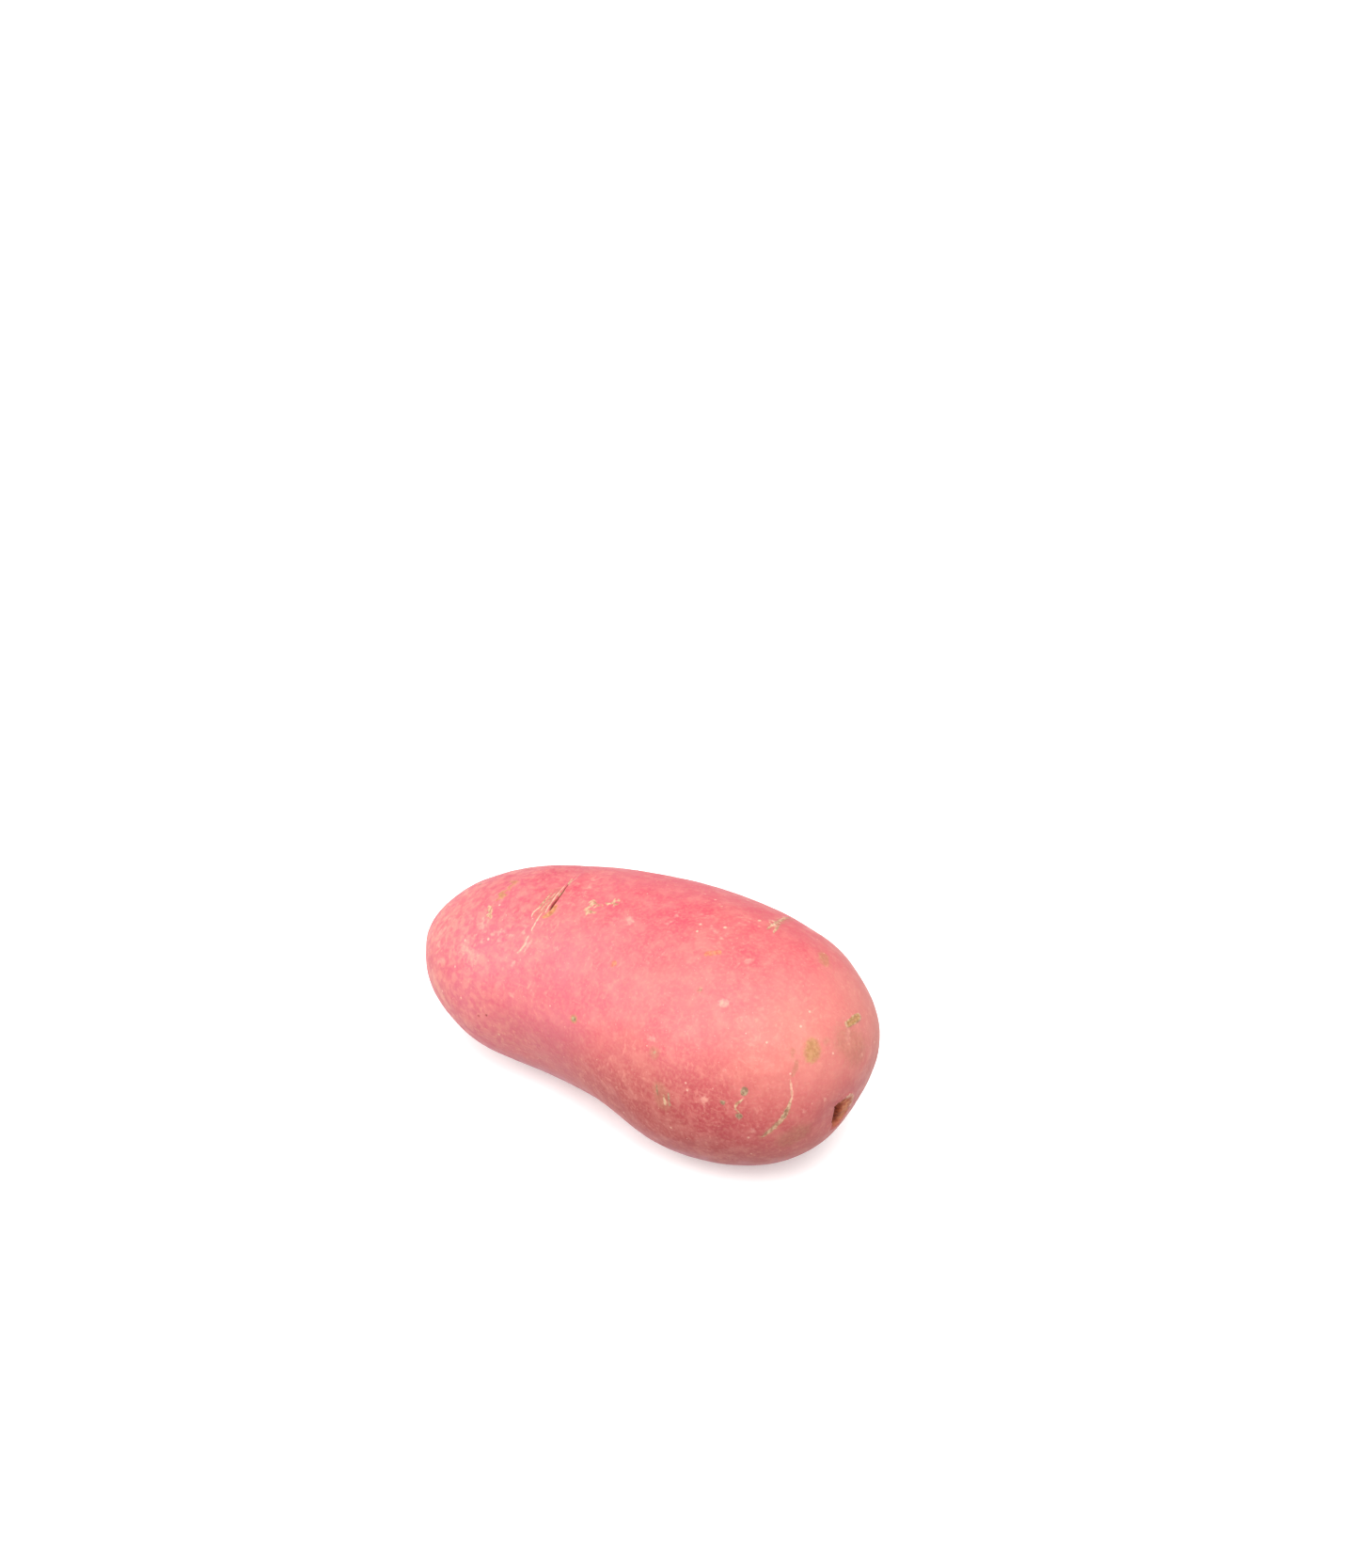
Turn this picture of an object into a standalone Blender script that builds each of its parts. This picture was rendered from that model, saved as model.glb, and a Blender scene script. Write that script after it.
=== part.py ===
"""An oblong red-skinned potato tuber, lying on its flattest side.

Run it with: blender --background --python part.py

Units are metres. +X runs along the tuber, from the slimmer bud end to the broad heel end that
grew on the stolon. +Z is up. -Y is the hollow side of the slight bend. The origin is the
middle of the tuber's box, at the level of the surface that it lies on.
"""

import math
from dataclasses import dataclass

import bmesh
import bpy
import numpy as np
from mathutils import Vector

# Driving dimensions: the overall box, each side settable by itself.
LENGTH = 0.1087
WIDTH = 0.0565
HEIGHT = 0.0515

# The middle line: how far it bows out towards +Y, and how far the heel end rides above the bud end.
BEND = 0.0030
RISE = 0.0045

# The resting spot: how much of the belly it takes off, and the height over which it rounds off.
FLAT_DEPTH = 0.0012
FLAT_BLEND = 0.0006

# The mesh is a cube with this many faces along each edge, rounded to a ball and then drawn out.
# Faces nearer an eye than FINE_REACH, measured on the ball, are split once more.
FACES_PER_EDGE = 22
FINE_REACH = 0.17

SKIN_COLOR = (0.80, 0.22, 0.25, 1.0)
SKIN_ROUGHNESS = 0.55


@dataclass(frozen=True)
class Station:
    """The girth of the tuber at one place along it, against a plain ellipsoid's."""

    along: float  # -1 at the bud end, 1 at the heel end
    width: float
    height: float
    bow: float  # where the middle line lies sideways, as a share of BEND
    climb: float  # where it lies in height, as a share of RISE


@dataclass(frozen=True)
class Swell:
    """A low, broad swelling of the flesh, or a hollow where its height is negative."""

    along: float
    around: float  # degrees round the tuber: 0 at +Y, 90 at the crown, 180 at -Y, 270 below
    reach: float  # distance at which it has faded to a third
    height: float


@dataclass(frozen=True)
class Eye:
    """A shallow pit in the skin: a bud's hollow, or the scar where the stolon broke off."""

    along: float
    around: float
    across: float  # half-width across the tuber
    lengthwise: float  # half-width along the tuber
    depth: float


STATIONS = (
    Station(-1.00, 1.02, 1.02, -0.9, -0.5),
    Station(-0.70, 0.98, 0.97, -0.4, -0.4),
    Station(-0.35, 0.91, 0.92, 0.4, -0.2),
    Station(0.00, 0.94, 0.94, 0.7, 0.0),
    Station(0.35, 1.04, 1.04, 0.2, 0.2),
    Station(0.70, 1.18, 1.16, -0.4, 0.4),
    Station(1.00, 1.28, 1.24, -0.9, 0.5),
)

SWELLS = (
    Swell(0.38, 215.0, 0.015, 0.0016),
    Swell(-0.20, 215.0, 0.016, -0.0013),
    Swell(0.92, 300.0, 0.012, -0.0010),
    Swell(0.55, 270.0, 0.016, -0.0010),
)

# The heel's scar comes first, then the eyes, which crowd towards the bud end.
EYES = (
    Eye(0.978, 218.0, 0.0034, 0.0034, 0.0020),
    Eye(-0.38, 103.0, 0.0058, 0.0030, 0.0009),
    Eye(-0.960, 60.0, 0.0036, 0.0026, 0.0012),
    Eye(-0.930, 170.0, 0.0034, 0.0024, 0.0009),
    Eye(-0.900, 300.0, 0.0036, 0.0026, 0.0011),
    Eye(-0.620, 20.0, 0.0046, 0.0026, 0.0012),
    Eye(-0.420, 262.0, 0.0042, 0.0026, 0.0009),
    Eye(0.020, 335.0, 0.0052, 0.0028, 0.0012),
    Eye(0.500, 32.0, 0.0050, 0.0030, 0.0011),
)


def clear_scene():
    """Remove whatever the file opened with."""
    for found in list(bpy.data.objects):
        bpy.data.objects.remove(found)


def eased(values, knots, at):
    """A smooth curve through the knots, read at one place."""
    slopes = np.gradient(values, knots)
    index = min(max(int(np.searchsorted(knots, at)) - 1, 0), len(knots) - 2)
    span = knots[index + 1] - knots[index]
    share = (at - knots[index]) / span
    rise = share * share * (3.0 - 2.0 * share)
    leaving = span * slopes[index] * share * (1.0 - share) ** 2
    arriving = span * slopes[index + 1] * share**2 * (1.0 - share)
    return (1.0 - rise) * values[index] + rise * values[index + 1] + leaving - arriving


def girth_at(along):
    """Width, height, bow and climb anywhere between the listed stations."""
    knots = np.array([station.along for station in STATIONS])
    return [
        eased(np.array([getattr(station, name) for station in STATIONS]), knots, along)
        for name in ("width", "height", "bow", "climb")
    ]


def drawn_out(direction):
    """Where the point of the unit ball in this direction lies on the plain tuber."""
    width, height, bow, climb = girth_at(direction.x)
    return Vector(
        (
            direction.x * LENGTH / 2.0,
            direction.y * width * WIDTH / 2.0 + bow * BEND,
            direction.z * height * HEIGHT / 2.0 + climb * RISE,
        )
    )


def ball_direction(place):
    """The direction on the unit ball of a swell's or an eye's place."""
    turn = math.radians(place.around)
    ring = math.sqrt(1.0 - place.along**2)
    return Vector((place.along, ring * math.cos(turn), ring * math.sin(turn)))


def outward(direction):
    """The way the plain tuber's skin faces in this direction."""
    return Vector(
        (direction.x / LENGTH, direction.y / WIDTH, direction.z / HEIGHT)
    ).normalized()


def swell_shift(point, swell):
    """How far out a swell pushes a point of the plain tuber."""
    distance = (point - drawn_out(ball_direction(swell))).length
    return swell.height * math.exp(-((distance / swell.reach) ** 2))


def eye_shift(point, eye):
    """How far in an eye draws a point of the plain tuber."""
    centre = ball_direction(eye)
    facing = outward(centre)
    crosswise = facing.cross(Vector((1.0, 0.0, 0.0))).normalized()
    offset = point - drawn_out(centre)
    across = offset.dot(crosswise) / eye.across
    lengthwise = offset.dot(crosswise.cross(facing)) / eye.lengthwise
    deep = offset.dot(facing) / eye.lengthwise
    return -eye.depth * math.exp(-(across**2 + lengthwise**2 + deep**2))


def skin_point(direction):
    """Where the point of the unit ball in this direction lies on the finished skin."""
    point = drawn_out(direction)
    shift = sum(swell_shift(point, swell) for swell in SWELLS)
    shift += sum(eye_shift(point, eye) for eye in EYES)
    return point + outward(direction) * shift


def flattened(height):
    """A height above the resting plane, eased into the plane and never below it."""
    if height <= -FLAT_BLEND:
        return 0.0
    if height >= FLAT_BLEND:
        return height
    return (height + FLAT_BLEND) ** 2 / (4.0 * FLAT_BLEND)


def fit_to_box(body):
    """Stretch the body to the driving box, centred on X and Y, with its belly sunk by FLAT_DEPTH."""
    lowest = (-LENGTH / 2.0, -WIDTH / 2.0, -FLAT_DEPTH)
    for axis, size in enumerate((LENGTH, WIDTH, HEIGHT + FLAT_DEPTH)):
        values = [vert.co[axis] for vert in body.verts]
        low, high = min(values), max(values)
        for vert in body.verts:
            vert.co[axis] = lowest[axis] + (vert.co[axis] - low) * size / (high - low)


def make_ball():
    """A unit ball of quads, with smaller faces where the eyes will be."""
    ball = bmesh.new()
    bmesh.ops.create_cube(ball, size=2.0)
    cuts = FACES_PER_EDGE - 1
    bmesh.ops.subdivide_edges(ball, edges=ball.edges[:], cuts=cuts, use_grid_fill=True)
    for vert in ball.verts:
        # Equal angles, not equal steps, keep the faces near the cube's corners from crowding.
        vert.co = Vector([math.tan(value * math.pi / 4.0) for value in vert.co]).normalized()
    centres = [ball_direction(eye) for eye in EYES]
    fine = [
        edge
        for edge in ball.edges
        if any((vert.co - centre).length < FINE_REACH for vert in edge.verts for centre in centres)
    ]
    bmesh.ops.subdivide_edges(ball, edges=fine, cuts=1, use_grid_fill=True)
    for vert in ball.verts:
        vert.co.normalize()
    return ball


def make_tuber():
    """One closed solid of the whole tuber."""
    body = make_ball()
    for vert in body.verts:
        vert.co = skin_point(vert.co)
    fit_to_box(body)
    for vert in body.verts:
        vert.co.z = flattened(vert.co.z)
    bmesh.ops.triangulate(body, faces=body.faces[:])
    mesh = bpy.data.meshes.new("potato_tuber")
    body.to_mesh(mesh)
    body.free()
    mesh.shade_smooth()
    tuber = bpy.data.objects.new("potato_tuber", mesh)
    bpy.context.scene.collection.objects.link(tuber)
    return tuber


def skin_material():
    """Thin red skin with a dull, waxy look."""
    skin = bpy.data.materials.new("red_potato_skin")
    skin.use_nodes = True
    shader = skin.node_tree.nodes["Principled BSDF"]
    shader.inputs["Base Color"].default_value = SKIN_COLOR
    shader.inputs["Roughness"].default_value = SKIN_ROUGHNESS
    shader.inputs["Metallic"].default_value = 0.0
    return skin


def main():
    clear_scene()
    tuber = make_tuber()
    tuber.data.materials.append(skin_material())


if __name__ == "__main__":
    main()
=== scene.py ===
"""The looks of an oblong red-skinned potato, lying on its belly on a pale studio floor.

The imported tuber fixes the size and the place. The skin is grown on a smooth, fine copy of it: the
low unevenness of the flesh, the eyes under their brows, the scar where the stolon broke off, and
the small blemishes of a potato that was lifted, washed and handled.

Every place on the skin is given as shares of the tuber's box, from its middle: along the tuber
(-1 at the bud end, 1 at the heel), across it (1 at +Y) and up (1 at the crown).
"""

import logging
import math
import random
from collections.abc import Iterable
from dataclasses import dataclass, field
from enum import Enum

import bmesh
import bpy
import numpy as np
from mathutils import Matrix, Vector, noise
from mathutils.bvhtree import BVHTree


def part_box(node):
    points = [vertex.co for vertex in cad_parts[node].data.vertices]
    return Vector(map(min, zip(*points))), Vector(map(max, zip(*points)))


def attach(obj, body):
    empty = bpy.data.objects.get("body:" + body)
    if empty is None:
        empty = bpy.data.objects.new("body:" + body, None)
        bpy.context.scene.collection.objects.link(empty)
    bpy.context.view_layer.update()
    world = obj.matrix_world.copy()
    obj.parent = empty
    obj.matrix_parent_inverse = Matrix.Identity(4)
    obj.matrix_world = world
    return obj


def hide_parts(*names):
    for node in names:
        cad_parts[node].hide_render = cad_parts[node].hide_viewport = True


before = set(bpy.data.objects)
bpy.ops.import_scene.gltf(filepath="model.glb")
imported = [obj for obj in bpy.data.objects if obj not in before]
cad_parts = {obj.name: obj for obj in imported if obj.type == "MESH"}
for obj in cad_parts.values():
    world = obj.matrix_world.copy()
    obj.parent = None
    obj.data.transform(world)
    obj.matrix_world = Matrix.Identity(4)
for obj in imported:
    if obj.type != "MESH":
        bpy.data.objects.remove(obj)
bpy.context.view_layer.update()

log = logging.getLogger("potato")

MM = 0.001
NODE = "potato_tuber"
SLOT = "red_potato_skin"

PATH_STEP = 0.2 * MM  # between the points of a traced route
TIP_WIDTH = 0.35  # what a pointed mark keeps of its width at its ends
FLECK_LIFT = 0.06 * MM  # of scurf
SPOT_LIFT = 0.04 * MM  # of a small worn spot
PRICK_DEPTH = 0.30 * MM
PRICK_RIM = 2.6  # width of the dry rim round a prick, in widths of the prick
PRICK_RIM_DEPTH = 0.15 * MM
BARE_SIDE = 0.1  # a place faces the marked side when its share of that way is above this
CREASE_WIDTH = 0.35 * MM  # of the crease under an eye's brow
BROW_WIDTH = 1.1 * MM
BUD_SIZE = 0.8 * MM
WALL_BLEND = 0.24  # share of the crater's size over which its wall comes down
SEAT_REACH = 0.02 * MM  # skin this near the floor is the flat spot

Share = tuple[float, float, float]
Tree = bpy.types.NodeTree
Socket = bpy.types.NodeSocket


class Stain(Enum):
    """What a blemish is made of, and the name of the attribute that carries it."""

    CORK = "stain_cork"  # dry, tan, slightly raised tissue
    CREAM = "stain_cream"  # pale healed scars and torn skin
    PEACH = "stain_peach"  # skin that was rubbed thin
    RUST = "stain_rust"  # the orange-brown flesh side of a wound
    PIT = "stain_pit"  # the dark bottom of a slit
    KHAKI = "stain_khaki"  # smooth yellow-brown spots
    OLIVE = "stain_olive"  # grey-green specks of old soil
    FILM = "stain_film"  # a dull brown rub on the skin
    FLUSH = "stain_flush_and_shade"  # deeper red round an eye and on darker sides, partly painted shade


class Taper(Enum):
    """How a mark's width changes along its route."""

    EVEN = "the same all along"
    POINTED = "narrow at both ends"


@dataclass(frozen=True)
class Mark:
    """A spot, or a line through several places, of one kind of blemish.

    Attributes:
        stain: What it is made of.
        half_width: Distance from the route to its edge where it is widest, in metres.
        route: The places that it runs through; one place makes a round spot.
        fullness: 1.0 is unbroken, and below about 0.6 it breaks up into flecks.
        lift: How far it stands proud of the skin, in metres; negative is sunk.
        taper: How its width changes along the route.
    """

    stain: Stain
    half_width: float
    route: tuple[Share, ...]
    fullness: float = 1.0
    lift: float = 0.0
    taper: Taper = Taper.EVEN


@dataclass(frozen=True)
class Scurf:
    """A patch of small flecks of dry tissue, strewn along a route.

    Attributes:
        route: The places that it runs through.
        stray: How far the flecks stray from the route, in metres.
        count: How many flecks it has.
        size: Half the width of its largest flecks, in metres.
        stain: What the flecks are made of.
        fullness: How solid the flecks are, as for a mark.
    """

    route: tuple[Share, ...]
    stray: float
    count: int
    size: float = 0.34 * MM
    stain: Stain = Stain.CORK
    fullness: float = 0.8


@dataclass(frozen=True)
class Swell:
    """A low, broad hump of the flesh.

    Attributes:
        place: Its middle.
        reach: How far it spreads, in metres.
        height: How high it stands, in metres; negative is a hollow.
    """

    place: Share
    reach: float
    height: float


@dataclass(frozen=True)
class Eye:
    """A bud's hollow under its brow, the crescent left by a scale leaf.

    Attributes:
        place: The middle of the brow.
        half_width: Half the length of the brow, in metres.
        sag: How far the brow's ends bend towards the bud end, in metres.
        hollow: Depth of the hollow on the bud side, in metres.
        reach: How far from the brow the hollow is deepest, in metres.
        groove: Depth of the crease under the brow, in metres.
        ridge: Height of the brow itself, in metres.
        bud: Height of the dormant bud in the hollow, in metres.
        turn: Rotation of the brow on the skin, in degrees.
    """

    place: Share
    half_width: float
    sag: float
    hollow: float
    reach: float = 2.2 * MM
    groove: float = 0.25 * MM
    ridge: float = 0.12 * MM
    bud: float = 0.25 * MM
    turn: float = 0.0


@dataclass(frozen=True)
class StolonScar:
    """The crater at the heel where the tuber broke off its stolon.

    Attributes:
        place: The middle of the crater.
        half_height: Half its size up and down, in metres.
        half_width: Half its size across, in metres.
        depth: Depth of its floor below the skin, in metres.
        lip: Height of the torn rim, in metres.
        stub: Height of the stolon's stump on the floor, in metres.
    """

    place: Share = (0.985, -0.235, -0.20)
    half_height: float = 4.1 * MM
    half_width: float = 3.2 * MM
    depth: float = 1.9 * MM
    lip: float = 0.25 * MM
    stub: float = 0.6 * MM


def fade(distance: np.ndarray) -> np.ndarray:
    """Ease from 1 at a distance of half a unit to 0 at one and a half units."""
    share = np.clip(1.5 - distance, 0.0, 1.0)
    return share * share * (3.0 - 2.0 * share)


def random_vector(chance: random.Random) -> Vector:
    """Draw a vector that points any way, with a length of about one."""
    return Vector([chance.gauss(0.0, 1.0) for _ in range(3)])


def direction(azimuth: float, elevation: float) -> Vector:
    """Point from the tuber to an onlooker.

    Args:
        azimuth: How far the onlooker stands round from -Y towards +X, in degrees.
        elevation: How high the onlooker is, in degrees.

    Returns:
        The direction, with a length of one.
    """
    turn, rise = math.radians(azimuth), math.radians(elevation)
    return Vector((math.sin(turn) * math.cos(rise), -math.cos(turn) * math.cos(rise), math.sin(rise)))


def linear_color(code: str) -> tuple[float, float, float, float]:
    """Turn an sRGB hex value into linear light.

    Args:
        code: Six hex digits, such as "E8808A".

    Returns:
        Red, green, blue and an alpha of 1.
    """
    parts = [int(code[start : start + 2], 16) / 255.0 for start in (0, 2, 4)]
    light = [part / 12.92 if part <= 0.04045 else ((part + 0.055) / 1.055) ** 2.4 for part in parts]
    return (light[0], light[1], light[2], 1.0)


def add_node(
    tree: Tree,
    kind: str,
    inputs: dict[int | str, object] | None = None,
    **settings: object,
) -> bpy.types.Node:
    """Add a node with its settings and links.

    Args:
        tree: The node tree that gets the node.
        kind: The node's type, such as "ShaderNodeMath".
        inputs: For each of its sockets, a value, or the output socket that feeds it.
        settings: The node's own properties.

    Returns:
        The new node.
    """
    made = tree.nodes.new(kind)
    for name, value in settings.items():
        setattr(made, name, value)
    for socket, value in (inputs or {}).items():
        if isinstance(value, Socket):
            tree.links.new(value, made.inputs[socket])
        else:
            made.inputs[socket].default_value = value
    return made


def select_only(piece: bpy.types.Object) -> None:
    """Deselect everything, and make this piece the selected and active one.

    Args:
        piece: The piece to select.
    """
    bpy.ops.object.select_all(action="DESELECT")
    piece.select_set(True)
    bpy.context.view_layer.objects.active = piece


def apply_modifier(piece: bpy.types.Object, kind: str, **settings: object) -> None:
    """Add a modifier to a piece and apply it.

    Args:
        piece: The piece to change.
        kind: The modifier's type, such as "SUBSURF".
        settings: The modifier's own properties.
    """
    select_only(piece)
    modifier = piece.modifiers.new(kind.lower(), kind)
    for name, value in settings.items():
        setattr(modifier, name, value)
    bpy.ops.object.modifier_apply(modifier=modifier.name)


# The crown eye's brow, from the far end of its crease to the last torn skin of its trail.
BROW_SLIT = (
    (-0.391, -0.04, 0.768),
    (-0.377, -0.14, 0.747),
    (-0.369, -0.24, 0.727),
    (-0.363, -0.33, 0.71),
)
BROW_END = ((-0.405, 0.05, 0.775), (-0.391, -0.04, 0.768))
BROW_LIP = ((-0.350, -0.28, 0.730), (-0.352, -0.36, 0.703), (-0.368, -0.40, 0.674))
BROW_FIBRES = (
    ((-0.400, -0.05, 0.764), (-0.395, -0.17, 0.737), (-0.379, -0.28, 0.712), (-0.370, -0.36, 0.690)),
    ((-0.415, -0.12, 0.745), (-0.406, -0.27, 0.710), (-0.398, -0.37, 0.676)),
    ((-0.432, -0.15, 0.742), (-0.426, -0.26, 0.715), (-0.424, -0.34, 0.688)),
    ((-0.418, -0.31, 0.699), (-0.428, -0.37, 0.675), (-0.420, -0.42, 0.652)),
    ((-0.387, -0.36, 0.690), (-0.385, -0.46, 0.634), (-0.383, -0.51, 0.601)),
)
BROW_TRAIL = (
    ((-0.385, -0.54, 0.570), (-0.383, -0.60, 0.509), (-0.398, -0.64, 0.452)),
    ((-0.361, -0.56, 0.555), (-0.372, -0.63, 0.481)),
    ((-0.399, -0.68, 0.395), (-0.404, -0.71, 0.344)),
)

CROWN_EYE_MARKS = (
    Mark(Stain.PIT, 0.34 * MM, BROW_SLIT, 1.25, -0.75 * MM, Taper.POINTED),
    Mark(Stain.PIT, 0.36 * MM, BROW_SLIT[1:], 1.3, -0.45 * MM, Taper.POINTED),
    Mark(Stain.CORK, 0.28 * MM, BROW_END, 0.75, -0.12 * MM, Taper.POINTED),
    Mark(Stain.KHAKI, 0.66 * MM, BROW_LIP, 1.0, -0.10 * MM, Taper.POINTED),
    Mark(Stain.RUST, 0.42 * MM, BROW_LIP, 0.54, 0.0, Taper.POINTED),
    Mark(Stain.CREAM, 0.28 * MM, BROW_FIBRES[0], 0.90, 0.12 * MM, Taper.POINTED),
    *(Mark(Stain.CORK, 0.27 * MM, fibre, 0.70, 0.10 * MM, Taper.POINTED) for fibre in BROW_FIBRES[1:3]),
    *(Mark(Stain.CREAM, 0.24 * MM, fibre, 0.75, 0.08 * MM, Taper.POINTED) for fibre in BROW_FIBRES[3:]),
    *(Mark(Stain.PEACH, 0.34 * MM, torn, 1.2, 0.04 * MM, Taper.POINTED) for torn in BROW_TRAIL),
    Mark(Stain.CREAM, 0.24 * MM, BROW_TRAIL[0], 0.62, 0.03 * MM, Taper.POINTED),
    # Deeper red round the crown eye's hollow and towards the far shoulder: partly painted shade.
    Mark(Stain.FLUSH, 6.5 * MM, ((-0.47, 0.16, 0.74), (-0.45, -0.04, 0.74)), 0.60),
    Mark(Stain.FLUSH, 8.0 * MM, ((-0.66, -0.10, 0.60), (-0.52, -0.38, 0.62)), 0.42),
    Mark(Stain.FILM, 1.6 * MM, BROW_FIBRES[1], 0.55),
)

CROWN_MARKS = (
    # Orange flecks, and round pale spots where pores have healed.
    Mark(Stain.RUST, 0.85 * MM, ((0.046, -0.585, 0.683),), 0.58),
    Mark(Stain.RUST, 0.75 * MM, ((0.39, -0.35, 0.935), (0.43, -0.30, 0.94)), 0.62),
    Mark(Stain.FILM, 1.1 * MM, ((0.50, 0.16, 0.97), (0.47, 0.50, 0.85)), 0.55),
    Mark(Stain.CORK, 0.40 * MM, ((0.50, 0.10, 0.97), (0.48, 0.34, 0.93), (0.46, 0.52, 0.84)), 0.85,
         0.05 * MM, Taper.POINTED),
    Mark(Stain.CORK, 0.32 * MM, ((0.53, 0.10, 0.96), (0.50, 0.28, 0.95)), 0.8, 0.05 * MM, Taper.POINTED),
    Mark(Stain.CREAM, 0.36 * MM, ((0.27, 0.16, 0.98),), 0.85, 0.04 * MM),
    Mark(Stain.CREAM, 0.42 * MM, ((0.44, 0.18, 0.98),), 0.90, 0.05 * MM),
    Mark(Stain.CREAM, 0.36 * MM, ((0.37, -0.07, 1.0),), 0.90, 0.05 * MM),
    Mark(Stain.CREAM, 0.34 * MM, ((0.29, -0.20, 0.97),), 0.75, 0.04 * MM),
    Mark(Stain.PEACH, 0.55 * MM, ((0.16, -0.12, 0.96),), 0.85),
    Mark(Stain.PEACH, 0.70 * MM, ((0.008, -0.280, 0.866), (-0.01, -0.25, 0.87)), 0.85),
    *(
        Mark(Stain.PEACH, 0.50 * MM, (place,), 0.8)
        for place in ((-0.285, -0.047, 0.829), (-0.285, -0.112, 0.819), (-0.303, 0.054, 0.824))
    ),
    Mark(Stain.PEACH, 0.60 * MM, ((-0.234, -0.576, 0.588),), 0.7),
    Mark(Stain.PEACH, 0.70 * MM, ((0.55, -0.26, 0.95),), 0.8),
    Mark(Stain.PEACH, 0.85 * MM, ((0.56, -0.61, 0.77), (0.57, -0.60, 0.77)), 1.0),
    Mark(Stain.CREAM, 0.50 * MM, ((0.56, -0.61, 0.77),), 0.34, 0.03 * MM),
    Mark(Stain.KHAKI, 1.3 * MM, ((0.71, 0.24, 0.81), (0.73, 0.18, 0.80)), 0.56),
    Mark(Stain.OLIVE, 1.0 * MM, ((0.45, -0.60, 0.79),), 0.52),
)

BUD_END_MARKS = (
    # Rubbed skin at the very end, two pin pricks, and the brown speck of the hollow side.
    Mark(Stain.PEACH, 1.1 * MM, ((-0.82, -0.66, -0.06), (-0.76, -0.71, -0.20), (-0.70, -0.74, -0.30)),
         1.0, 0.0, Taper.POINTED),
    Mark(Stain.PEACH, 2.0 * MM, ((-0.664, -0.652, 0.302), (-0.60, -0.69, 0.27)), 0.50),
    Mark(Stain.FILM, 0.30 * MM, ((-0.74, -0.73, -0.17), (-0.71, -0.74, -0.26)), 0.8, 0.0, Taper.POINTED),
    Mark(Stain.PEACH, 0.60 * MM, ((-0.664, -0.652, 0.302), (-0.617, -0.688, 0.288)), 0.8),
    Mark(Stain.PIT, 0.32 * MM, ((-0.532, -0.808, -0.186),), 0.60, -0.12 * MM),
    Mark(Stain.PIT, 0.34 * MM, ((-0.493, -0.812, -0.144),), 0.64, -0.12 * MM),
    Mark(Stain.KHAKI, 0.90 * MM, ((-0.05, -0.83, 0.221),), 0.85),
    Mark(Stain.OLIVE, 0.58 * MM, ((-0.05, -0.83, 0.221),), 1.0),
    Mark(Stain.PEACH, 0.65 * MM, ((-0.373, -0.789, 0.150),), 0.9),
    Mark(Stain.CREAM, 0.34 * MM, ((-0.443, -0.783, -0.314),), 0.80, 0.03 * MM),
    Mark(Stain.CREAM, 0.34 * MM, ((-0.269, -0.736, -0.428),), 0.75, 0.03 * MM),
    Mark(Stain.FLUSH, 4.0 * MM, ((-0.37, -0.808, -0.10), (-0.10, -0.84, -0.05)), 0.35),
)

# The heel's long healed cut, which is faint where it starts near the crown.
LONG_CUT_FAINT = (
    ((0.851, -0.52, 0.53), (0.858, -0.55, 0.48)),
    ((0.875, -0.54, 0.45), (0.879, -0.56, 0.41), (0.880, -0.61, 0.34)),
)
LONG_CUT_THIN = (
    (0.876, -0.625, 0.33),
    (0.886, -0.637, 0.257),
    (0.893, -0.647, 0.18),
    (0.892, -0.658, 0.13),
)
LONG_CUT = (
    (0.893, -0.65, 0.17),
    (0.886, -0.68, 0.075),
    (0.876, -0.70, 0.01),
    (0.856, -0.73, -0.065),
    (0.835, -0.755, -0.125),
    (0.808, -0.775, -0.19),
)
KHAKI_PATCH = ((0.888, -0.385, 0.54), (0.902, -0.42, 0.484), (0.906, -0.46, 0.435))
CORKY_RING = (
    (0.921, -0.06, 0.536),
    (0.918, 0.01, 0.532),
    (0.914, 0.10, 0.516),
    (0.919, 0.12, 0.488),
    (0.926, 0.09, 0.484),
    (0.929, 0.01, 0.500),
    (0.928, -0.05, 0.512),
    (0.921, -0.06, 0.536),
)
RING_TRAIL = ((0.931, -0.05, 0.50), (0.943, -0.08, 0.47), (0.955, -0.11, 0.41))

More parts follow.
